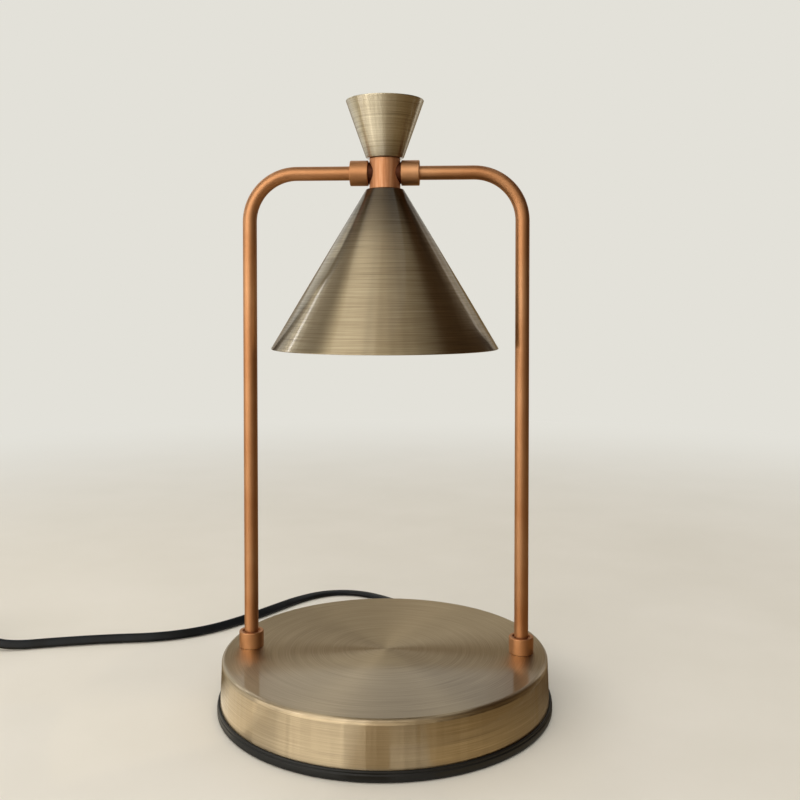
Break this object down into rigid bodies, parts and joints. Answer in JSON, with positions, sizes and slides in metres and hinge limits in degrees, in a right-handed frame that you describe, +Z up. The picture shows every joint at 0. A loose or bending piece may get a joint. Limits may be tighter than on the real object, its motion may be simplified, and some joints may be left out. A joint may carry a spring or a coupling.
{
  "type": "table lamp",
  "caption": "Table lamp with a tilting cone shade hung between two bent tube legs on a round weighted base, with a cord dimmer and a plug.",
  "frame": {"origin": "on the floor, under the middle of the round base", "axes": "+Z up, the two arms and the tilt line along X, -Y to the front, the cord leaves at +Y"},
  "size_m": [0.4728, 0.2522, 0.3008],
  "materials": {
    "bronze": "brushed antique bronze plating on steel, lacquered",
    "copper": "satin copper plating on steel",
    "black_rubber": "satin black rubber",
    "black_cord": "satin black flat two-core cord",
    "black_nylon": "matt black nylon",
    "black_plastic": "fine-textured black plastic",
    "grey_plastic": "dark grey moulded plastic",
    "iron": "raw casting",
    "zinc_steel": "zinc plated",
    "contact_brass": "bright contact metal",
    "white_ceramic": "unglazed steatite",
    "reflector": "aluminised glass",
    "clear_glass": "clear pressed glass",
    "white_plastic": "natural nylon",
    "lead_insulation": "heat-resistant sleeving",
    "board": "circuit board laminate",
    "board_parts": "moulded component cases"
  },
  "bodies": {
    "stand": {"base_shell": "bronze", "frame_tube_left": "copper", "frame_tube_right": "copper", "foot_collar_left": "copper", "foot_collar_right": "copper", "arm_collar_left": "copper", "arm_collar_right": "copper", "rubber_foot_ring": "black_rubber", "supply_cord": "black_cord", "cord_coil": "black_cord", "cord_inner_tail": "black_cord", "cord_bushing": "black_cord", "coil_tie": "black_nylon", "dimmer_case_lower": "black_plastic", "dimmer_case_upper": "black_plastic", "plug_body": "black_plastic", "dimmer_potentiometer": "grey_plastic", "ballast_weight": "iron", "base_plate": "zinc_steel", "plate_screws": "zinc_steel", "leg_washers": "zinc_steel", "leg_nuts": "zinc_steel", "cord_clamp_screws": "zinc_steel", "dimmer_case_screws": "zinc_steel", "plug_blades": "contact_brass", "terminal_block": "white_plastic", "cord_clamp": "white_plastic", "lead_pair_frame": "lead_insulation", "dimmer_board": "board", "dimmer_components": "board_parts"},
    "head": {"pivot_spacer_left": "copper", "pivot_spacer_right": "copper", "pivot_screw_left": "zinc_steel", "pivot_screw_right": "zinc_steel", "pivot_spring_washers": "zinc_steel", "neck_block": "copper", "stem_tube": "zinc_steel", "shade": "bronze", "shade_nut": "zinc_steel", "top_cone": "bronze", "top_cone_nut": "zinc_steel", "top_cap": "bronze", "holder_bracket": "zinc_steel", "holder_nut": "zinc_steel", "holder_screws": "zinc_steel", "lamp_holder": "white_ceramic", "bulb_base": "white_ceramic", "bulb_pins": "contact_brass", "bulb_capsule": "clear_glass", "bulb_reflector": "reflector", "bulb_lens": "clear_glass", "lead_pair_head": "lead_insulation"},
    "dimmer_wheel": {"dimmer_wheel": "grey_plastic"}
  },
  "joints": [
    {"name": "head_tilt", "type": "hinge", "parent": "stand", "child": "head", "pos_m": [0, 0, 0.265], "axis": [1, 0, 0], "range_deg": [-60, 60]},
    {"name": "dimmer_wheel_turn", "type": "hinge", "parent": "stand", "child": "dimmer_wheel", "pos_m": [-0.294, 0.054, 0.013], "axis": [0, 1, 0], "range_deg": [0, 270]}
  ]
}
